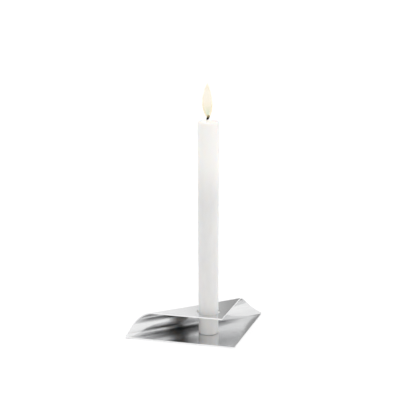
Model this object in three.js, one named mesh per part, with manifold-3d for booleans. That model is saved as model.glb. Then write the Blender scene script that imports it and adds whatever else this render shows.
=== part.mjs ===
// A candlestick made from one square of polished stainless steel sheet. The square is rolled over
// along its diagonal, so its rear half lies level above its front half, and a candle drops through
// a round hole in the upper flap and stands on the base. Millimetres, +Z up. The origin is on the
// table under the hole's centre; X runs along the roll and the front corner points along -Y.

import * as THREE from "three";
import { mergeVertices } from "three/addons/utils/BufferGeometryUtils.js";
import Module from "manifold-3d";

// The steel blank and its roll
const sheetSide = 125;
const sheetThickness = 1.5;
const cornerFlat = 0.8; // each corner of the blank is blunted to this width
const rollInnerRadius = 11.4; // half the gap between the base and the flap
const rollLead = 5.3; // the roll starts this far in front of the blank's diagonal
const holeForward = 0.3; // the hole lies this much nearer the flap's tip than midway

// The candle: a 240 mm one, burnt down a little
const candleLength = 239;
const candleFootRadius = 11.1;
const candleTopRadius = 11.6;
const footChamfer = 0.6;
const shoulderRadius = 1.6; // the melted outer edge at the top
const rimWall = 3.8; // wax left round the burnt cup, before the cup moves off the axis
const cupDepth = 1.3;

// The wick, a little off the candle's axis, with its burnt end leaning back over it
const wickRadius = 1.1;
const wickOffCentre = 1.5;
const wickStandOut = 6.1; // height of the tip above the candle's rim
const wickLean = 1.8; // how far the burnt tip leans back across the axis
const leanHeading = THREE.MathUtils.degToRad(-29);

// The flame
const flameLength = 38.5;
const flameRadius = 5.5;
const flameFootRadius = 3;
const flameOverlap = 2.8; // the length of wick that stands inside the flame

// Clearances
const holePlay = 1.3; // between the widest part of the candle and the hole's wall
const seatGap = 0.3; // between pieces that touch

// Numbers of flat faces on the round shapes
const rollSteps = 18;
const holeSides = 72;
const candleSides = 48;
const cordSides = 8;
const flameSides = 24;

// Sizes that follow from the ones above
const halfDiagonal = sheetSide / Math.SQRT2;
const holeRadius = Math.max(candleFootRadius, candleTopRadius) + holePlay;
const rollMidRadius = rollInnerRadius + sheetThickness / 2;
const rollOuterRadius = rollInnerRadius + sheetThickness;
const rollStart = -rollLead; // measured along the flat blank from its diagonal, as rollEnd is
const rollEnd = rollStart + Math.PI * rollMidRadius;
const flapLength = halfDiagonal - rollEnd;
// The hole lies about midway in the metal that the flap can spare. A circle of its size clears the
// flap's two edges where its centre is holeRadius * sqrt(2) short of the tip.
const spareMetal = flapLength - holeRadius * (1 + Math.SQRT2);
const holeToRoll = holeRadius + spareMetal / 2 + holeForward;
const flapUnderside = sheetThickness + 2 * rollInnerRadius;
const candleFoot = sheetThickness + seatGap;
const candleRim = candleFoot + candleLength;
const cupRadius = candleTopRadius - rimWall;
const cupFloor = candleRim - cupDepth;
const wickTip = candleRim + wickStandOut;
const flameFoot = wickTip - flameOverlap;

const leanDirection = new THREE.Vector3(Math.cos(leanHeading), Math.sin(leanHeading), 0);
const wickAxis = leanDirection.clone().multiplyScalar(-wickOffCentre);

const wasm = await Module();
wasm.setup();

function toSolid(geometry) {
  const bare = geometry.clone();
  bare.deleteAttribute("normal");
  bare.deleteAttribute("uv");
  const merged = mergeVertices(bare, 1e-4);
  return new wasm.Manifold(
    new wasm.Mesh({
      numProp: 3,
      vertProperties: merged.attributes.position.array,
      triVerts: new Uint32Array(merged.index.array),
    }),
  );
}

// The body with each tool's space taken out of it.
function cut(body, ...tools) {
  const solid = tools.reduce((left, tool) => left.subtract(toSolid(tool)), toSolid(body));
  const mesh = solid.getMesh();
  const geometry = new THREE.BufferGeometry();
  geometry.setAttribute("position", new THREE.BufferAttribute(mesh.vertProperties, 3));
  geometry.setIndex(new THREE.BufferAttribute(mesh.triVerts, 1));
  return geometry;
}

// A closed skin through a row of sections that have the same number of corners.
function loft(sections) {
  const corners = sections[0].length;
  const faces = [];
  for (let row = 0; row + 1 < sections.length; row++) {
    for (let k = 0; k < corners; k++) {
      const here = row * corners + k;
      const beside = row * corners + ((k + 1) % corners);
      faces.push(here, beside, beside + corners, here, beside + corners, here + corners);
    }
  }
  const last = (sections.length - 1) * corners;
  for (let k = 1; k + 1 < corners; k++) {
    faces.push(0, k + 1, k);
    faces.push(last, last + k, last + k + 1);
  }
  const geometry = new THREE.BufferGeometry().setFromPoints(sections.flat());
  geometry.setIndex(faces);
  return geometry;
}

// A body turned about a vertical axis from a closed outline of (radius, height) points.
function turned(outline, sides) {
  const geometry = new THREE.LatheGeometry([...outline, outline[0]], sides);
  geometry.rotateX(Math.PI / 2);
  return geometry;
}

// An upright rod of one radius from one height to another.
function rod(radius, low, high, sides) {
  const geometry = new THREE.CylinderGeometry(radius, radius, high - low, sides);
  geometry.rotateX(Math.PI / 2);
  geometry.translate(0, 0, (low + high) / 2);
  return geometry;
}

// The rolled sheet's section at a distance along the flat blank from its diagonal: two corners on
// the inner face, then two on the outer. The middle of the thickness keeps its flat length.
function sheetSection(along) {
  const turn = THREE.MathUtils.clamp((along - rollStart) / rollMidRadius, 0, Math.PI);
  const straight = along - rollStart - turn * rollMidRadius;
  const halfWidth = halfDiagonal - Math.max(Math.abs(along), cornerFlat / 2);
  const corner = (x, radius) =>
    new THREE.Vector3(
      x,
      holeToRoll + radius * Math.sin(turn) + straight * Math.cos(turn),
      rollOuterRadius - radius * Math.cos(turn) + straight * Math.sin(turn),
    );
  return [
    corner(-halfWidth, rollInnerRadius),
    corner(halfWidth, rollInnerRadius),
    corner(halfWidth, rollOuterRadius),
    corner(-halfWidth, rollOuterRadius),
  ];
}

function holderSheet() {
  const blunt = cornerFlat / 2;
  const stations = [blunt - halfDiagonal, -blunt, blunt, halfDiagonal - blunt];
  for (let k = 0; k <= rollSteps; k++) {
    stations.push(THREE.MathUtils.lerp(rollStart, rollEnd, k / rollSteps));
  }
  stations.sort((a, b) => a - b);
  const pastFlap = flapUnderside + 2 * sheetThickness;
  const punch = rod(holeRadius, flapUnderside - sheetThickness, pastFlap, holeSides);
  return cut(loft(stations.map(sheetSection)), punch);
}

function candleWax() {
  const shoulderCentre = candleTopRadius - shoulderRadius;
  const outline = new THREE.Path();
  outline.moveTo(0, candleFoot);
  outline.lineTo(candleFootRadius - footChamfer, candleFoot);
  outline.lineTo(candleFootRadius, candleFoot + footChamfer);
  outline.lineTo(candleTopRadius, candleRim - shoulderRadius);
  outline.absarc(shoulderCentre, candleRim - shoulderRadius, shoulderRadius, 0, Math.PI / 2);
  outline.lineTo(0, candleRim);
  const stick = turned(outline.getPoints(5), candleSides);

  const bowl = new THREE.Path();
  bowl.moveTo(0, cupFloor);
  bowl.quadraticCurveTo(cupRadius * 0.9, cupFloor, cupRadius, candleRim);
  bowl.lineTo(cupRadius, candleRim + cupDepth);
  bowl.lineTo(0, candleRim + cupDepth);
  const cup = turned(bowl.getPoints(6), candleSides);
  cup.translate(wickAxis.x, wickAxis.y, 0);

  const bore = rod(wickRadius + seatGap, 0, candleRim, 2 * cordSides);
  bore.translate(wickAxis.x, wickAxis.y, 0);
  return cut(stick, cup, bore);
}

// The wick's centre line, straight inside the wax and leaning over above it.
function wickLine() {
  const at = (offset, height) => wickAxis.clone().addScaledVector(leanDirection, offset).setZ(height);
  const bend = new THREE.CubicBezierCurve3(
    at(0, cupFloor),
    at(0, THREE.MathUtils.lerp(cupFloor, wickTip, 0.4)),
    at(wickLean * 0.6, THREE.MathUtils.lerp(cupFloor, wickTip, 0.7)),
    at(wickLean, wickTip),
  );
  return [at(0, candleFoot + seatGap), ...bend.getPoints(8)];
}

// A round cord along a centre line that bends in the plane of the lean.
function cord(line, radius) {
  const sideways = new THREE.Vector3(-leanDirection.y, leanDirection.x, 0);
  const rings = line.map((centre, k) => {
    const before = line[Math.max(k - 1, 0)];
    const after = line[Math.min(k + 1, line.length - 1)];
    const outwards = new THREE.Vector3().subVectors(after, before).normalize().cross(sideways).negate();
    return Array.from({ length: cordSides }, (_, side) => {
      const angle = (2 * Math.PI * side) / cordSides;
      return centre
        .clone()
        .addScaledVector(outwards, radius * Math.cos(angle))
        .addScaledVector(sideways, radius * Math.sin(angle));
    });
  });
  return loft(rings);
}

function wick() {
  return cord(wickLine(), wickRadius);
}

// The burning gas round the wick's tip, as one closed shape with a pocket for the wick.
function flame() {
  const side = new THREE.SplineCurve([
    new THREE.Vector2(flameFootRadius, 0),
    new THREE.Vector2(flameRadius * 0.87, flameLength * 0.22),
    new THREE.Vector2(flameRadius, flameLength * 0.43),
    new THREE.Vector2(flameRadius * 0.71, flameLength * 0.7),
    new THREE.Vector2(0, flameLength),
  ]).getPoints(20);
  side[side.length - 1].x = 0;
  const body = turned([new THREE.Vector2(0, 0), ...side], flameSides);
  body.translate(wickAxis.x / 2, wickAxis.y / 2, flameFoot);

  const line = wickLine();
  const [beforeTip, tip] = line.slice(-2);
  const pocketEnd = new THREE.Vector3().subVectors(tip, beforeTip).setLength(seatGap).add(tip);
  return cut(body, cord([...line, pocketEnd], wickRadius + seatGap));
}

const steel = new THREE.MeshStandardMaterial({ color: 0xc9cbcd, metalness: 1, roughness: 0.16 });
const wax = new THREE.MeshStandardMaterial({ color: 0xf1efea, metalness: 0, roughness: 0.5 });
const cotton = new THREE.MeshStandardMaterial({ color: 0x241f1b, metalness: 0, roughness: 0.9 });
const fire = new THREE.MeshStandardMaterial({ color: 0xfff0d0, emissive: 0xffe2b0, roughness: 0.6 });

function piece(name, geometry, material) {
  const mesh = new THREE.Mesh(geometry, material);
  mesh.name = name;
  return mesh;
}

const candlestick = new THREE.Group();
candlestick.add(
  piece("holder_sheet", holderSheet(), steel),
  piece("candle_wax", candleWax(), wax),
  piece("wick", wick(), cotton),
  piece("flame", flame(), fire),
);

export default candlestick;
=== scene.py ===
import math

import bmesh
import bpy
import numpy as np
from mathutils import Matrix, Vector


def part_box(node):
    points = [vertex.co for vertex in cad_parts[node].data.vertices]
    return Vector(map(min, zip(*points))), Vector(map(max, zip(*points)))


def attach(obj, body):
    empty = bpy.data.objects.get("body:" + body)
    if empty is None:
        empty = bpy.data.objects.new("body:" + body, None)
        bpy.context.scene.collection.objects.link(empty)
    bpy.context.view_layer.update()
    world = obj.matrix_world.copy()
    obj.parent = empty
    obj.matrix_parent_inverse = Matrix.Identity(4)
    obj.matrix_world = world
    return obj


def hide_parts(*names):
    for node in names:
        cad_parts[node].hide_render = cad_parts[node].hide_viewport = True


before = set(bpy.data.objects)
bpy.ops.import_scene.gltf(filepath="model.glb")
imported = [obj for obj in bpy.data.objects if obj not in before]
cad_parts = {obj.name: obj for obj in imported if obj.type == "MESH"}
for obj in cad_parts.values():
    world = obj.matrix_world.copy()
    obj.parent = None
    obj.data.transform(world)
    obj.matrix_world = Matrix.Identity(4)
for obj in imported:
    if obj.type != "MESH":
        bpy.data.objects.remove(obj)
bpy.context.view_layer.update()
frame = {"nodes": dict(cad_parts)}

print("frame loaded:", ", ".join(frame["nodes"]))

rootTwo = math.sqrt(2)
mm = 0.001


# Quads over a grid of points. A wrapped direction is joined back to its start.
def gridFaces(rows, cols, wrapRows, wrapCols):
    index = np.arange(rows * cols).reshape(rows, cols)
    if wrapRows:
        index = np.concatenate([index, index[:1]], axis=0)
    if wrapCols:
        index = np.concatenate([index, index[:, :1]], axis=1)
    corners = [index[:-1, :-1], index[1:, :-1], index[1:, 1:], index[:-1, 1:]]
    return np.stack(corners, axis=-1).reshape(-1, 4)


# One patch of a piece: points as rows x columns x 3, and extra values per point by name.
def patch(points, wrapRows=False, wrapCols=False, **values):
    return {"points": points, "wrapRows": wrapRows, "wrapCols": wrapCols, "values": values}


# Joins patches into one closed mesh whose seams and poles are merged and whose faces look outwards.
# Values named surfaceNormal become the shading normals; the others stay as attributes.
def makePiece(name, patches, material):
    points, faces, start = [], [], 0
    for part in patches:
        rows, cols = part["points"].shape[:2]
        points.append(part["points"].reshape(-1, 3))
        faces.append(gridFaces(rows, cols, part["wrapRows"], part["wrapCols"]) + start)
        start += rows * cols
    mesh = bpy.data.meshes.new(name)
    mesh.from_pydata(np.concatenate(points), [], np.concatenate(faces))
    for key in patches[0]["values"]:
        columns = []
        for part in patches:
            rows, cols = part["points"].shape[:2]
            value = part["values"][key]
            spread = np.broadcast_to(value, (rows, cols) + np.shape(value)[2:])
            columns.append(spread.reshape(rows * cols, -1))
        column = np.concatenate(columns)
        isVector = column.shape[1] == 3
        layer = mesh.attributes.new(key, "FLOAT_VECTOR" if isVector else "FLOAT", "POINT")
        layer.data.foreach_set("vector" if isVector else "value", column.astype(np.float32).ravel())
    work = bmesh.new()
    work.from_mesh(mesh)
    bmesh.ops.remove_doubles(work, verts=work.verts, dist=2e-7)
    bmesh.ops.recalc_face_normals(work, faces=work.faces)
    work.to_mesh(mesh)
    work.free()
    mesh.shade_smooth()
    if "surfaceNormal" in mesh.attributes:
        normals = np.empty(len(mesh.vertices) * 3, np.float32)
        mesh.attributes["surfaceNormal"].data.foreach_get("vector", normals)
        mesh.normals_split_custom_set_from_vertices(normals.reshape(-1, 3))
        mesh.attributes.remove(mesh.attributes["surfaceNormal"])
    piece = bpy.data.objects.new(name, mesh)
    bpy.context.scene.collection.objects.link(piece)
    mesh.materials.append(material)
    return piece


# A piece takes over a CAD node, on that node's body.
def standFor(piece, node, body):
    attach(piece, body)
    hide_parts(node)


# Adds a shader node. Inputs are given by name or number; a socket is linked and a number is set.
def addNode(tree, kind, inputs=None, **settings):
    made = tree.nodes.new(kind)
    for key, value in settings.items():
        setattr(made, key, value)
    for key, value in (inputs or {}).items():
        if isinstance(value, bpy.types.NodeSocket):
            tree.links.new(value, made.inputs[key])
        else:
            made.inputs[key].default_value = value
    return made


def maths(tree, operation, *terms):
    return addNode(tree, "ShaderNodeMath", dict(enumerate(terms)), operation=operation).outputs[0]


# Values from low to high come out as from first to second, smoothly or straight.
def remap(tree, value, low, high, first=0.0, second=1.0, smooth=True):
    inputs = {"Value": value, "From Min": low, "From Max": high, "To Min": first, "To Max": second}
    kind = "SMOOTHSTEP" if smooth else "LINEAR"
    return addNode(tree, "ShaderNodeMapRange", inputs, interpolation_type=kind).outputs["Result"]


def blendColours(tree, share, first, second):
    made = addNode(tree, "ShaderNodeMix", data_type="RGBA")
    for socket, value in zip((made.inputs[0], made.inputs[6], made.inputs[7]), (share, first, second)):
        if isinstance(value, bpy.types.NodeSocket):
            tree.links.new(value, socket)
        else:
            socket.default_value = value
    return made.outputs[2]


def newMaterial(name, **constants):
    material = bpy.data.materials.new(name)
    material.use_nodes = True
    tree = material.node_tree
    shader = tree.nodes["Principled BSDF"]
    for key, value in constants.items():
        shader.inputs[key.replace("_", " ")].default_value = value
    return material, tree, shader


# The piece's own coordinates in metres, stretched by a factor along each axis after a turn about Z.
def ownPlace(tree, stretch=(1, 1, 1), turn=0.0):
    place = addNode(tree, "ShaderNodeTexCoord").outputs["Object"]
    inputs = {"Vector": place, "Rotation": (0, 0, turn), "Scale": stretch}
    return addNode(tree, "ShaderNodeMapping", inputs).outputs["Vector"]


def noise(tree, place, scale, detail=2.0, roughness=0.5):
    inputs = {"Vector": place, "Scale": scale, "Detail": detail, "Roughness": roughness}
    return addNode(tree, "ShaderNodeTexNoise", inputs).outputs["Fac"]


# Camera, at the height and side that the candlestick is usually shown from
camera = {
    "aim": (-0.0003, 0.0002, 0.1446),
    "azimuth": -28.88,
    "elevation": 12.87,
    "roll": -0.08,
    "distance": 1.3122,
    "lens": 103.6,
}


def placeCamera():
    azimuth, elevation = math.radians(camera["azimuth"]), math.radians(camera["elevation"])
    level = math.cos(elevation)
    back = Vector((math.sin(azimuth) * level, -math.cos(azimuth) * level, math.sin(elevation)))
    lens = bpy.data.cameras.new("camera")
    lens.lens = camera["lens"]
    lens.sensor_width = 36
    lens.clip_end = 100
    eye = bpy.data.objects.new("camera", lens)
    turn = back.to_track_quat("Z", "Y").to_matrix().to_4x4()
    roll = Matrix.Rotation(math.radians(camera["roll"]), 4, "Z")
    place = Vector(camera["aim"]) + back * camera["distance"]
    eye.matrix_world = Matrix.Translation(place) @ turn @ roll
    bpy.context.scene.collection.objects.link(eye)
    bpy.context.scene.camera = eye


placeCamera()
print("camera placed")


# The polished sheet. It is worked out as a flat square plate with rounded edges and a hole, and
# every point is then rolled over: a point's place across the plate becomes an angle round the roll.
holderSheet = {
    "thickness": 1.5 * mm,
    "rollLead": 5.3 * mm,  # the roll starts this far in front of the square's diagonal
    "cornerRadius": 0.8 * mm,
    "edgeRadius": 0.2 * mm,  # softening of the cut edges
    "holeRadius": 12.9 * mm,
    "roughness": (0.15, 0.19),
    "cutEdgeRoughness": 0.25,  # added to it on the cut edges
    "faceColours": ((0.765, 0.768, 0.772, 1), (0.785, 0.787, 0.79, 1)),
    # near black of the painted reflection inside the bend
    "paintedReflectionColour": (0.02, 0.02, 0.021, 1),
    # satin cut edges, given a lighter colour than the faces as a painted highlight where they catch the
    # light
    "cutEdgeHighlightColour": (0.88, 0.88, 0.885, 1),
    # Painted dark reflection inside the bend: patches that darken the steel's colour, each fading in and
    # out along the bend and across it
    "paintedReflectionPatches": [
        {"strength": 0.60, "along": (-66, -46, -4, 20), "across": (-32, -10, -3, 1)},
        {"strength": 0.80, "along": (-32, -18, -6, 16), "across": (-36, -8, -2, 2)},
        {"strength": 0.22, "along": (-44, -28, -22, -12), "across": (-66, -46, -24, -10)},
        {"strength": 0.40, "along": (-25, -19, -10, 14), "across": (-2, 2, 10, 22)},
        {"strength": 0.42, "along": (10, 26, 31, 56), "across": (-20, -11, -5, 0)},
    ],
    "rowsOnBase": 36,
    "rowsOnRoll": 96,
    "stepsOnFlapEdge": 64,
    "columns": 60,
    "ringsOnFlap": 14,
}

sheetLow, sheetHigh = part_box("holder_sheet")
outerRadius = (sheetHigh.z - sheetLow.z) / 2
middleRadius = outerRadius - holderSheet["thickness"] / 2
rollCentreY = sheetHigh.y - outerRadius
halfDiagonal = sheetHigh.x + holderSheet["cornerRadius"] * (rootTwo - 1)
rollStart = -holderSheet["rollLead"]
rollEnd = rollStart + math.pi * middleRadius
holeAcross = rollEnd + rollCentreY
baseTop = sheetLow.z + holderSheet["thickness"]


# Turn = distance past the roll's start over the middle radius, held between 0 and half a turn.
def turnAt(across):
    return np.clip((across - rollStart) / middleRadius, 0, math.pi)


# y = roll centre + (middle radius - height) sin(turn) + straight part cos(turn), and z likewise with
# the cosine and sine swapped. Height is counted from the middle of the plate, up from the base.
def rollOver(along, across, height):
    turn = turnAt(across)
    straight = across - rollStart - turn * middleRadius
    radius = middleRadius - height
    y = rollCentreY + radius * np.sin(turn) + straight * np.cos(turn)
    z = outerRadius - radius * np.cos(turn) + straight * np.sin(turn)
    return np.stack(np.broadcast_arrays(along, y, z), axis=-1)


# A direction on the flat plate, turned as the plate is at that place.
def rollDirection(across, towardsX, towardsRear, upwards):
    turn = turnAt(across)
    y = towardsRear * np.cos(turn) - upwards * np.sin(turn)
    z = towardsRear * np.sin(turn) + upwards * np.cos(turn)
    return np.stack(np.broadcast_arrays(towardsX, y, z), axis=-1)


# Smoothly up from 0 at the first of four places to 1 at the second, and down from the third to the
# fourth. The places are in millimetres.
def fadeOver(distance, places):
    start, full, hold, end = (place * mm for place in places)
    rise = np.clip((distance - start) / (full - start), 0, 1)
    fall = np.clip((end - distance) / (end - hold), 0, 1)
    return rise**2 * (3 - 2 * rise) * fall**2 * (3 - 2 * fall)


# The patches are a painted dark reflection of surroundings that the plain studio doesn't have, so
# they stay where they are when the holder turns. Brightness = the product of (1 - strength times
# both fades) over the patches, and the painted darkening = 1 - brightness.
def darkness(along, across):
    brightness = 1.0
    for spot in holderSheet["paintedReflectionPatches"]:
        fade = fadeOver(along, spot["along"]) * fadeOver(across, spot["across"])
        brightness = brightness * (1 - spot["strength"] * fade)
    return 1 - brightness


# The right half of the plate's outline, inset by the edge softening, from the front corner over the
# right corner to the flap's tip. Corners are arcs about a centre on the diagonal, edges are straight
# at 45 degrees. Gives places along and across, their outward directions, and the roll end's index.
def halfOutline():
    radius = holderSheet["cornerRadius"] - holderSheet["edgeRadius"]
    centre = halfDiagonal - rootTwo * holderSheet["cornerRadius"]
    reach = radius / rootTwo
    quarter = np.linspace(0, math.pi / 4, 7)
    arc = np.linspace(-math.pi / 4, math.pi / 4, 11)
    ahead = np.concatenate([
        np.linspace(-centre - reach, rollStart, holderSheet["rowsOnBase"], endpoint=False)[1:],
        np.linspace(rollStart, -reach, 14, endpoint=False),
    ])
    behind = np.concatenate([
        np.linspace(reach, rollEnd, holderSheet["rowsOnRoll"])[1:],
        np.linspace(rollEnd, centre + reach, holderSheet["stepsOnFlapEdge"], endpoint=False)[1:],
    ])
    edgeSum = centre + rootTwo * radius
    slantAhead, slantBehind = np.full(len(ahead), 1 / rootTwo), np.full(len(behind), 1 / rootTwo)
    along = np.concatenate([
        radius * np.sin(quarter), edgeSum + ahead, centre + radius * np.cos(arc),
        edgeSum - behind, radius * np.sin(quarter[::-1]),
    ])
    across = np.concatenate([
        -centre - radius * np.cos(quarter), ahead, radius * np.sin(arc),
        behind, centre + radius * np.cos(quarter[::-1]),
    ])
    outX = np.concatenate([
        np.sin(quarter), slantAhead, np.cos(arc), slantBehind, np.sin(quarter[::-1]),
    ])
    outRear = np.concatenate([
        -np.cos(quarter), -slantAhead, np.sin(arc), slantBehind, np.cos(quarter[::-1]),
    ])
    return along, across, outX, outRear, int(np.argmin(np.abs(across - rollEnd)))


# The plate's side, carried round an outline: offset = r sin(q), height = half the thickness less
# r (1 - cos(q)), with q from 0 at the upper face to a right angle, and the same again below.
def edgeStrip(along, across, outX, outRear):
    radius, half = holderSheet["edgeRadius"], holderSheet["thickness"] / 2
    bend = np.linspace(0, math.pi / 2, 5)
    offset = np.concatenate([radius * np.sin(bend), radius * np.sin(bend[::-1])])[:, None]
    height = half - radius * (1 - np.cos(bend))
    height = np.concatenate([height, -height[::-1]])[:, None]
    sideways = np.concatenate([np.sin(bend), np.sin(bend[::-1])])[:, None]
    upwards = np.concatenate([np.cos(bend), -np.cos(bend[::-1])])[:, None]
    x, rear = along + outX * offset, across + outRear * offset
    return patch(
        rollOver(x, rear, height),
        wrapCols=True,
        surfaceNormal=rollDirection(rear, outX * sideways, outRear * sideways, upwards),
        cutEdge=np.broadcast_to(sideways**2, x.shape),
        # painted reflection on the upper half of the edge too
        darkness=darkness(x, rear) * np.clip(upwards, 0, 1),
    )


def makeHolderSheet(material):
    along, across, outX, outRear, lastRow = halfOutline()
    half = holderSheet["thickness"] / 2
    spread = np.linspace(-1, 1, holderSheet["columns"] + 1)

    # Base and roll: rows straight across the plate, each as wide as the outline there
    rowX = along[: lastRow + 1, None] * spread
    rowRear = np.broadcast_to(across[: lastRow + 1, None], rowX.shape)

    # Flap: straight lines from the hole's rim to the flap's border, which is the roll's last row
    # and the two edges that meet at the tip
    edgeX, edgeRear = along[lastRow:], across[lastRow:]
    borderX = np.concatenate([edgeX, -edgeX[-2::-1], rowX[-1, 1:-1]])
    borderRear = np.concatenate([edgeRear, edgeRear[-2::-1], rowRear[-1, 1:-1]])
    heading = np.arctan2(borderRear - holeAcross, borderX)
    rim = holderSheet["holeRadius"] + holderSheet["edgeRadius"]
    rimX, rimRear = rim * np.cos(heading), holeAcross + rim * np.sin(heading)
    share = np.linspace(0, 1, holderSheet["ringsOnFlap"])[:, None] ** 1.3
    flapX = rimX + share * (borderX - rimX)
    flapRear = rimRear + share * (borderRear - rimRear)

    patches = []
    for side in (1, -1):
        for x, rear, wrap in ((rowX, rowRear, False), (flapX, flapRear, True)):
            normals = rollDirection(rear, np.zeros_like(x), 0.0, side)
            patches.append(patch(
                rollOver(x, rear, side * half),
                wrapCols=wrap,
                surfaceNormal=normals,
                cutEdge=np.zeros_like(x),
                # painted reflection on the upper face only
                darkness=darkness(x, rear) * max(side, 0),
            ))
    patches.append(edgeStrip(
        np.concatenate([along, -along[-2:0:-1]]),
        np.concatenate([across, across[-2:0:-1]]),
        np.concatenate([outX, -outX[-2:0:-1]]),
        np.concatenate([outRear, outRear[-2:0:-1]]),
    ))
    patches.append(edgeStrip(rimX, rimRear, -np.cos(heading), -np.sin(heading)))
    return makePiece("polished_sheet", patches, material)


# Bright steel with a very fine grain along one edge of the square, satin cut edges with a painted
# highlight, and a painted dark reflection inside the bend
def steelMaterial():
    material, tree, shader = newMaterial("polishedSteel", Metallic=1.0, Anisotropic=0.25)
    grainPlace = ownPlace(tree, stretch=(1, 0.02, 1), turn=math.radians(45))
    grain = noise(tree, grainPlace, 9000, detail=3.0)
    clouds = noise(tree, ownPlace(tree), 38, detail=3.0)
    cutEdge = addNode(tree, "ShaderNodeAttribute", attribute_name="cutEdge").outputs["Fac"]
    tone = remap(tree, clouds, 0.3, 0.7, 0.0, 1.0)
    # Painted reflection: the face colour is blended towards near black where the patches inside the bend
    # lie
    dark = addNode(tree, "ShaderNodeAttribute", attribute_name="darkness").outputs["Fac"]
    face = blendColours(tree, tone, *holderSheet["faceColours"])
    face = blendColours(tree, dark, face, holderSheet["paintedReflectionColour"])
    # the cut edges take a lighter colour, a painted highlight
    colour = blendColours(tree, cutEdge, face, holderSheet["cutEdgeHighlightColour"])
    polish = remap(tree, grain, 0.25, 0.75, *holderSheet["roughness"], smooth=False)
    satin = maths(tree, "MULTIPLY", cutEdge, holderSheet["cutEdgeRoughness"])
    finish = maths(tree, "ADD", polish, satin)
    tree.links.new(colour, shader.inputs["Base Color"])
    tree.links.new(finish, shader.inputs["Roughness"])
    bump = addNode(tree, "ShaderNodeBump", {"Height": grain, "Strength": 0.04, "Distance": 0.02 * mm})
    tree.links.new(bump.outputs["Normal"], shader.inputs["Normal"])
    return material


sheetPiece = makeHolderSheet(steelMaterial())
standFor(sheetPiece, "holder_sheet", "holder")
print("holder sheet made")


# The candle: one closed profile carried round. It runs out along the foot, up the side, over the
# melted shoulder, down into the burnt cup and back down the wick's bore.
candle = {
    "footRadius": 11.1 * mm,
    "topRadius": 11.6 * mm,
    "footSoftening": 1.1 * mm,
    "shoulderRadius": 1.9 * mm,
    "cupRadius": 7.8 * mm,
    "cupDepth": 1.3 * mm,
    "rimWobble": 0.12 * mm,
    "seatGap": 0.02 * mm,  # between the foot and the base
    "wickHeading": -29.0,  # degrees; the wick stands off the axis, away from this heading
    "wickOffCentre": 1.5 * mm,
    "boreRadius": 1.15 * mm,
    "columns": 144,
    "coolWax": ((0.74, 0.735, 0.727, 1), (0.77, 0.765, 0.757, 1)),
    "paintedGlowWax": (0.89, 0.875, 0.847, 1),  # painted glow: lighter and warmer towards the top, where the flame would shine through
    "paintedGlowFrom": 90 * mm,  # below the rim, where the painted glow starts
    "paintedGlowFull": 35 * mm,
}

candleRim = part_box("candle_wax")[1].z
candleFoot = baseTop + candle["seatGap"]
leanAngle = math.radians(candle["wickHeading"])
lean = np.array([math.cos(leanAngle), math.sin(leanAngle), 0.0])
wickAxis = -lean * candle["wickOffCentre"]


# Quarter of a circle from one angle to another, as (radius, height) points.
def arcPoints(centreRadius, centreHeight, radius, fromAngle, toAngle, steps):
    angle = np.radians(np.linspace(fromAngle, toAngle, steps))
    return np.stack([centreRadius + radius * np.cos(angle), centreHeight + radius * np.sin(angle)], axis=1)


# x = r cos(a) + shift times the wick's offset, y likewise with the sine, z = height plus a small
# wave round the rim. Shift runs from 0 at the shoulder to 1 in the cup, so the cup is off centre.
def aroundAxis(radius, height, shift, wave, columns):
    angle = np.linspace(0, 2 * math.pi, columns, endpoint=False)
    x = radius[:, None] * np.cos(angle) + shift[:, None] * wickAxis[0]
    y = radius[:, None] * np.sin(angle) + shift[:, None] * wickAxis[1]
    ripple = np.sin(angle + 0.7) + 0.5 * np.sin(2 * angle + 2.1) + 0.25 * np.sin(5 * angle)
    z = height[:, None] + wave[:, None] * ripple
    return np.stack([x, y, z], axis=-1)


def makeCandle(material):
    foot, rim = candleFoot, candleRim
    soft, shoulder = candle["footSoftening"], candle["shoulderRadius"]
    sideHeights = np.linspace(foot + soft, rim - shoulder, 70)[1:-1]
    sideShare = (sideHeights - foot) / (rim - foot)
    sideRadii = candle["footRadius"] + sideShare * (candle["topRadius"] - candle["footRadius"])
    shoulderCentre = candle["topRadius"] - shoulder
    # The cup falls from the rim's crest to its floor as a half cosine
    cupShare = np.linspace(0, 1, 26)[1:]
    crestRadius = shoulderCentre - 0.2 * mm
    cupRadii = crestRadius + cupShare * (candle["boreRadius"] - crestRadius)
    fall = np.clip((crestRadius - cupRadii) / (crestRadius - 0.62 * candle["cupRadius"]), 0, 1)
    cupHeights = rim - candle["cupDepth"] * (1 - np.cos(math.pi * fall)) / 2
    profile = np.concatenate([
        np.stack([np.linspace(candle["boreRadius"], candle["footRadius"] - soft, 8), np.full(8, foot)], 1),
        arcPoints(candle["footRadius"] - soft, foot + soft, soft, -90, 0, 7)[1:],
        np.stack([sideRadii, sideHeights], 1),
        arcPoints(shoulderCentre, rim - shoulder, shoulder, 0, 90, 14),
        np.stack([cupRadii, cupHeights], 1),
        np.stack([np.full(10, candle["boreRadius"]), np.linspace(cupHeights[-1], foot, 12)[1:-1]], 1),
    ])
    radius, height = profile.T
    # Only the mouth leans over to the wick; the bore is on the wick's own axis from top to bottom
    inside = np.clip((shoulderCentre + 0.4 * mm - radius) / (2.5 * mm), 0, 1)
    shift = inside**2 * (3 - 2 * inside)
    wave = candle["rimWobble"] * np.clip(1 - (rim - height) / (2.5 * mm), 0, 1) ** 2
    wave *= np.clip((radius - 2 * candle["boreRadius"]) / (3 * mm), 0, 1)
    points = aroundAxis(radius, height, shift, wave, candle["columns"])
    return makePiece("candle_stick", [patch(points, wrapRows=True, wrapCols=True)], material)
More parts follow.
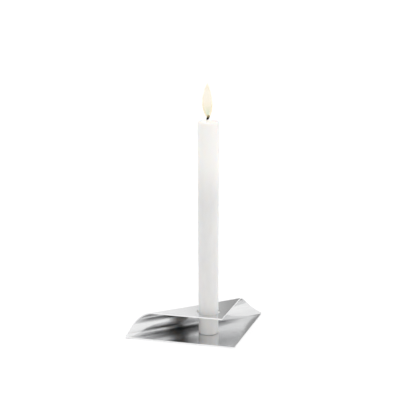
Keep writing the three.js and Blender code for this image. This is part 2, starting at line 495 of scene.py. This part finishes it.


# Wax lets light in a little way, has a painted glow that makes it lighter and warmer towards the top,
# where the flame would shine through it, and has faint clouds
def waxMaterial():
    material, tree, shader = newMaterial(
        "candleWax",
        Subsurface_Weight=1.0,
        Subsurface_Radius=(1.0, 0.85, 0.7),
        Subsurface_Scale=2.5 * mm,
        IOR=1.44,
        Specular_IOR_Level=0.4,
    )
    place = addNode(tree, "ShaderNodeTexCoord").outputs["Object"]
    height = addNode(tree, "ShaderNodeSeparateXYZ", {"Vector": place}).outputs["Z"]
    clouds = noise(tree, ownPlace(tree, stretch=(1, 1, 0.35)), 160, detail=4.0)
    cool = blendColours(tree, remap(tree, clouds, 0.3, 0.7), *candle["coolWax"])
    paintedGlow = remap(tree, height, candleRim - candle["paintedGlowFrom"], candleRim - candle["paintedGlowFull"])
    colour = blendColours(tree, paintedGlow, cool, candle["paintedGlowWax"])
    tree.links.new(colour, shader.inputs["Base Color"])
    tree.links.new(remap(tree, clouds, 0.3, 0.7, 0.42, 0.52), shader.inputs["Roughness"])
    pits = noise(tree, ownPlace(tree), 900, detail=3.0)
    bump = addNode(tree, "ShaderNodeBump", {"Height": pits, "Strength": 0.15, "Distance": 0.05 * mm})
    tree.links.new(bump.outputs["Normal"], shader.inputs["Normal"])
    return material


candlePiece = makeCandle(waxMaterial())
standFor(candlePiece, "candle_wax", "candle")
print("candle made")


# Melted wax in the cup. Its surface climbs at the cup's wall and at the wick: height = level plus a
# rise that falls off as exp(-distance / 0.5 mm) from both.
meltPool = {
    "outerRadius": 7.9 * mm,
    "level": -0.62 * mm,  # below the rim
    "climb": 0.28 * mm,
    "depth": 0.8 * mm,
    "columns": 96,
    # painted glow: the pool emits light that stands in for the flame's light on it
    "glow": 0.25,
}


def makeMeltPool(material):
    inner, outer = candle["boreRadius"], meltPool["outerRadius"]
    radius = inner + (outer - inner) * (1 - np.cos(np.linspace(0, math.pi, 28))) / 2
    climb = np.exp(-(outer - radius) / (0.5 * mm)) + 0.6 * np.exp(-(radius - inner) / (0.5 * mm))
    top = candleRim + meltPool["level"] + meltPool["climb"] * climb
    under = top - meltPool["depth"] * np.sin(np.linspace(0, math.pi, 28)) ** 0.5
    profileRadius = np.concatenate([radius, radius[-2:0:-1]])
    profileHeight = np.concatenate([top, under[-2:0:-1]])
    ones = np.ones_like(profileRadius)
    points = aroundAxis(profileRadius, profileHeight, ones, 0 * ones, meltPool["columns"])
    return makePiece("melt_pool", [patch(points, wrapRows=True, wrapCols=True)], material)


# Clear warm liquid wax, with a painted glow that stands in for the flame's light on it
def meltMaterial():
    material, tree, shader = newMaterial(
        "meltedWax", Transmission_Weight=0.2, IOR=1.43, Emission_Strength=meltPool["glow"]
    )
    swirl = noise(tree, ownPlace(tree), 300, detail=2.0)
    share = remap(tree, swirl, 0.3, 0.7)
    colour = blendColours(tree, share, (0.97, 0.93, 0.84, 1), (0.98, 0.95, 0.88, 1))
    tree.links.new(colour, shader.inputs["Base Color"])
    tree.links.new(colour, shader.inputs["Emission Color"])
    tree.links.new(remap(tree, swirl, 0.3, 0.7, 0.03, 0.08), shader.inputs["Roughness"])
    return material


poolPiece = makeMeltPool(meltMaterial())
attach(poolPiece, "candle")
print("melt pool made")


# The wick: a plaited cord carried along its centre line, which is straight in the wax and leans over
# above it. Ring radius = r (0.9 + 0.14 |cos(1.5 a - twist)|), so three strands wind round it.
wick = {
    "radius": 1.05 * mm,
    "lean": 1.8 * mm,
    "twist": 2.2 * mm,  # length of one strand's third of a turn
    "charStart": 1.7 * mm,  # above the rim
    "charSwell": 0.5,  # how much thicker the burnt end is
    "swellLength": 1.2 * mm,
    "columns": 36,
}

wickLow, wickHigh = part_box("wick")


# Centre line points for heights: offset = lean times s squared (3 - 2 s), s from 0 to 1 above the wax.
def wickCentre(height):
    start = candleRim - candle["cupDepth"]
    share = np.clip((height - start) / (wickHigh.z - start), 0, 1)
    offset = wick["lean"] * share**2 * (3 - 2 * share)
    return wickAxis + lean * offset[:, None] + np.array([0, 0, 1.0]) * height[:, None]


def makeWick(material):
    inWax = np.linspace(wickLow.z, candleRim - 3 * mm, 40)
    tip = wickHigh.z
    free = np.linspace(candleRim - 3 * mm, tip, 60)[1:]
    height = np.concatenate([inWax, free])
    centre = wickCentre(height)
    angle = np.linspace(0, 2 * math.pi, wick["columns"], endpoint=False)
    wind = math.pi / 3 * height / wick["twist"]
    strands = 0.9 + 0.14 * np.abs(np.cos(1.5 * angle[None, :] - wind[:, None]))
    aboveChar = height - candleRim - wick["charStart"]
    burnt = np.clip(aboveChar / wick["swellLength"], 0, 1)[:, None]
    crumble = 1 + burnt * (wick["charSwell"] - 0.06 * (1 + np.sin(7 * angle + 2600 * height[:, None])))
    # Both ends close: the foot flat, the tip as a rough dome
    dome = np.sqrt(np.clip((tip - height) / (0.9 * mm), 0, 1))[:, None]
    dome[0] = 0
    ring = wick["radius"] * strands * crumble * dome
    across = np.array([-lean[1], lean[0], 0.0])
    points = centre[:, None] + ring[..., None] * (
        np.cos(angle)[:, None] * lean + np.sin(angle)[:, None] * across
    )
    return makePiece("plaited_wick", [patch(points, wrapCols=True)], material)


# Waxed cotton below, char above
def wickMaterial():
    material, tree, shader = newMaterial("wickCotton", Specular_IOR_Level=0.08)
    place = addNode(tree, "ShaderNodeTexCoord").outputs["Object"]
    height = addNode(tree, "ShaderNodeSeparateXYZ", {"Vector": place}).outputs["Z"]
    fibres = noise(tree, ownPlace(tree, stretch=(1, 1, 0.4)), 2600, detail=4.0)
    ragged = maths(tree, "ADD", height, maths(tree, "MULTIPLY", fibres, 0.9 * mm))
    charFrom = candleRim + wick["charStart"]
    char = remap(tree, ragged, charFrom, charFrom + 0.7 * mm)
    cotton = blendColours(tree, fibres, (0.80, 0.78, 0.74, 1), (0.93, 0.92, 0.90, 1))
    black = blendColours(tree, fibres, (0.003, 0.0025, 0.002, 1), (0.018, 0.014, 0.01, 1))
    tree.links.new(blendColours(tree, char, cotton, black), shader.inputs["Base Color"])
    tree.links.new(remap(tree, char, 0, 1, 0.45, 0.95), shader.inputs["Roughness"])
    bump = addNode(tree, "ShaderNodeBump", {"Height": fibres, "Strength": 0.7, "Distance": 0.15 * mm})
    tree.links.new(bump.outputs["Normal"], shader.inputs["Normal"])
    return material


wickPiece = makeWick(wickMaterial())
standFor(wickPiece, "wick", "candle")
print("wick made")


# The flame: leaf shapes one inside another. Radius = widest times fullness times sin(pi s^height
# power)^shape power, with s from near 0 at the foot to 1 at the tip. Each shell has its own foot and
# tip, as shares of the flame's length, and a glow and a cover that change with height.
flame = {
    "widest": 5.7 * mm,
    "shapePower": 0.7,
    "heightPower": 0.85,
    "footShare": 0.02,
    "footOffset": -0.15 * mm,  # the centre line's place along the wick's lean, at the foot
    "drift": 0.65 * mm,  # how far it has moved back at the tip
    "bow": 0.6 * mm,  # and how far the middle stands behind a straight line
    "columns": 64,
    "shells": [
        {"name": "flame_mantle", "fullness": 1.0, "foot": 0.0, "tip": 1.0, "finish": "mantle"},
        {"name": "flame_veil", "fullness": 0.94, "foot": 0.01, "tip": 0.97, "finish": "mantle"},
        {"name": "flame_glow", "fullness": 0.88, "foot": 0.02, "tip": 0.94, "finish": "mantle"},
        {"name": "flame_heart", "fullness": 0.74, "foot": 0.04, "tip": 0.90, "finish": "heart"},
        {"name": "flame_core", "fullness": 0.34, "foot": 0.07, "tip": 0.33, "finish": "core"},
    ],
    "finishes": {
        "mantle": {
            "strength": 1.0,
            "glow": [
                (0.0, (0.94, 0.80, 0.45)), (0.18, (0.97, 0.72, 0.30)), (0.5, (0.98, 0.82, 0.50)),
                (1.0, (0.97, 0.85, 0.56)),
            ],
            "cover": [(0.0, 0.05), (0.08, 0.15), (0.28, 0.18), (0.5, 0.13), (0.75, 0.10), (1.0, 0.16)],
        },
        "heart": {
            "strength": 1.06,
            "glow": [
                (0.0, (0.55, 0.80, 0.82)), (0.2, (0.72, 0.90, 0.95)), (0.42, (0.92, 0.915, 0.90)),
                (0.7, (0.92, 0.905, 0.87)), (1.0, (0.93, 0.87, 0.75)),
            ],
            "cover": [(0.0, 0.0), (0.08, 0.08), (0.2, 0.5), (0.35, 0.95), (0.8, 0.9), (1.0, 0.5)],
        },
        "core": {
            "strength": 1.0,
            "glow": [(0.0, (0.50, 0.80, 0.80)), (0.16, (0.58, 0.92, 0.94)), (0.33, (0.84, 0.95, 0.96))],
            "cover": [(0.0, 0.0), (0.07, 0.1), (0.13, 0.75), (0.2, 0.7), (0.33, 0.1)],
        },
    },
}
flameLow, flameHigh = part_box("flame")
flameLength = flameHigh.z - flameLow.z


# Centre line: offset along the wick's lean = foot offset - drift s - bow sin(pi s).
def flameCentre(share):
    return flame["footOffset"] - flame["drift"] * share - flame["bow"] * np.sin(math.pi * share)


def makeFlameShell(shell, material):
    steps = (1 - np.cos(np.linspace(0, math.pi, 60))) / 2
    inner = np.clip(flame["footShare"] + (1 - flame["footShare"]) * steps, 0, 1)
    swell = np.clip(np.sin(math.pi * inner ** flame["heightPower"]), 0, 1)
    radius = flame["widest"] * shell["fullness"] * swell ** flame["shapePower"]
    radius[-1] = 0
    share = shell["foot"] + steps * (shell["tip"] - shell["foot"])
    height = flameLow.z + share * flameLength
    angle = np.linspace(0, 2 * math.pi, flame["columns"], endpoint=False)
    centre = lean * flameCentre(share)[:, None] + np.array([0, 0, 1.0]) * height[:, None]
    across = np.array([-lean[1], lean[0], 0.0])
    points = centre[:, None] + radius[:, None, None] * (
        np.cos(angle)[:, None] * lean + np.sin(angle)[:, None] * across
    )
    points = np.concatenate([np.repeat(centre[:1, None], flame["columns"], axis=1), points])
    return makePiece(shell["name"], [patch(points, wrapCols=True)], material)


# Burning gas has no surface of its own: the material only glows and covers what is behind it
def flameMaterial(name, finish):
    material, tree, shader = newMaterial(
        name, Emission_Strength=finish["strength"], Specular_IOR_Level=0.0, Roughness=1.0
    )
    shader.inputs["Base Color"].default_value = (0, 0, 0, 1)
    place = addNode(tree, "ShaderNodeTexCoord").outputs["Object"]
    height = addNode(tree, "ShaderNodeSeparateXYZ", {"Vector": place}).outputs["Z"]
    share = remap(tree, height, flameLow.z, flameHigh.z, smooth=False)
    waver = noise(tree, ownPlace(tree, stretch=(1, 1, 0.3)), 260, detail=1.0)
    drift = maths(tree, "MULTIPLY", maths(tree, "SUBTRACT", waver, 0.5), 0.08)
    share = maths(tree, "ADD", share, drift)
    for key, socket in (("glow", "Emission Color"), ("cover", "Alpha")):
        ramp = addNode(tree, "ShaderNodeValToRGB", {"Fac": share})
        stopList = ramp.color_ramp.elements
        while len(stopList) < len(finish[key]):
            stopList.new(0.5)
        for element, (position, value) in zip(stopList, finish[key]):
            element.position = position
            element.color = (*value, 1) if isinstance(value, tuple) else (value, value, value, 1)
        tree.links.new(ramp.outputs["Color"], shader.inputs[socket])
    return material


flameMaterials = {
    key: flameMaterial("flame" + key.capitalize(), finish) for key, finish in flame["finishes"].items()
}
for shell in flame["shells"]:
    standFor(makeFlameShell(shell, flameMaterials[shell["finish"]]), "flame", "candle")
print("flame made")


# Floor, sky and lamp: a white studio. The sky is one even grey with broad panels laid over it, each
# centred on an azimuth and elevation in degrees and fading at its borders. Azimuth 0 is +Y and 90 +X.
studio = {
    "floorSide": 40.0,
    "floorColour": (0.97, 0.97, 0.97, 1),
    "sky": 1.0,
    "panels": [
        {"azimuth": 155, "elevation": 10, "width": 60, "height": 70, "fade": 30, "light": 1.07},
        {"azimuth": 50, "elevation": 10, "width": 42, "height": 60, "fade": 1.0, "light": 0.32},
        {"azimuth": -95, "elevation": 15, "width": 90, "height": 80, "fade": 20, "light": 0.74},
    ],
    "lampStrength": 0.6,
}


def makeFloor():
    half = studio["floorSide"] / 2
    corners = np.array([[-half, -half, 0], [half, -half, 0], [half, half, 0], [-half, half, 0]])
    mesh = bpy.data.meshes.new("floor")
    mesh.from_pydata(corners, [], [(0, 1, 2, 3)])
    material, tree, shader = newMaterial("floorPaper", Roughness=0.9, Specular_IOR_Level=0.0)
    shader.inputs["Base Color"].default_value = studio["floorColour"]
    mesh.materials.append(material)
    floor = bpy.data.objects.new("floor", mesh)
    bpy.context.scene.collection.objects.link(floor)


def makeSky():
    world = bpy.data.worlds.new("studio")
    world.use_nodes = True
    tree = world.node_tree
    direction = addNode(tree, "ShaderNodeTexCoord").outputs["Generated"]
    light = studio["sky"]
    for panel in studio["panels"]:
        turn = (0, 0, math.radians(panel["azimuth"]))
        local = addNode(tree, "ShaderNodeMapping", {"Vector": direction, "Rotation": turn})
        parts = addNode(tree, "ShaderNodeSeparateXYZ", {"Vector": local.outputs["Vector"]}).outputs
        sideways = maths(tree, "ABSOLUTE", maths(tree, "ARCTAN2", parts["X"], parts["Y"]))
        lift = maths(tree, "ARCSINE", parts["Z"])
        upwards = maths(tree, "SUBTRACT", lift, math.radians(panel["elevation"]))
        upwards = maths(tree, "ABSOLUTE", upwards)
        halfFade = math.radians(panel["fade"]) / 2
        mask = 1.0
        for away, size in ((sideways, panel["width"]), (upwards, panel["height"])):
            border = math.radians(size / 2)
            inside = remap(tree, away, border - halfFade, border + halfFade, 1.0, 0.0)
            mask = maths(tree, "MULTIPLY", mask, inside)
        change = maths(tree, "MULTIPLY", mask, maths(tree, "SUBTRACT", panel["light"], light))
        light = maths(tree, "ADD", light, change)
    background = tree.nodes["Background"]
    background.inputs["Color"].default_value = (1, 1, 1, 1)
    tree.links.new(light, background.inputs["Strength"])
    bpy.context.scene.world = world


# One lamp straight above whitens the floor
def makeLamp():
    lamp = bpy.data.lights.new("overhead", "SUN")
    lamp.energy = studio["lampStrength"]
    lamp.angle = math.radians(40)
    bpy.context.scene.collection.objects.link(bpy.data.objects.new("overhead", lamp))


makeFloor()
makeSky()
makeLamp()
bpy.context.scene.view_settings.view_transform = "Standard"
print("studio made")
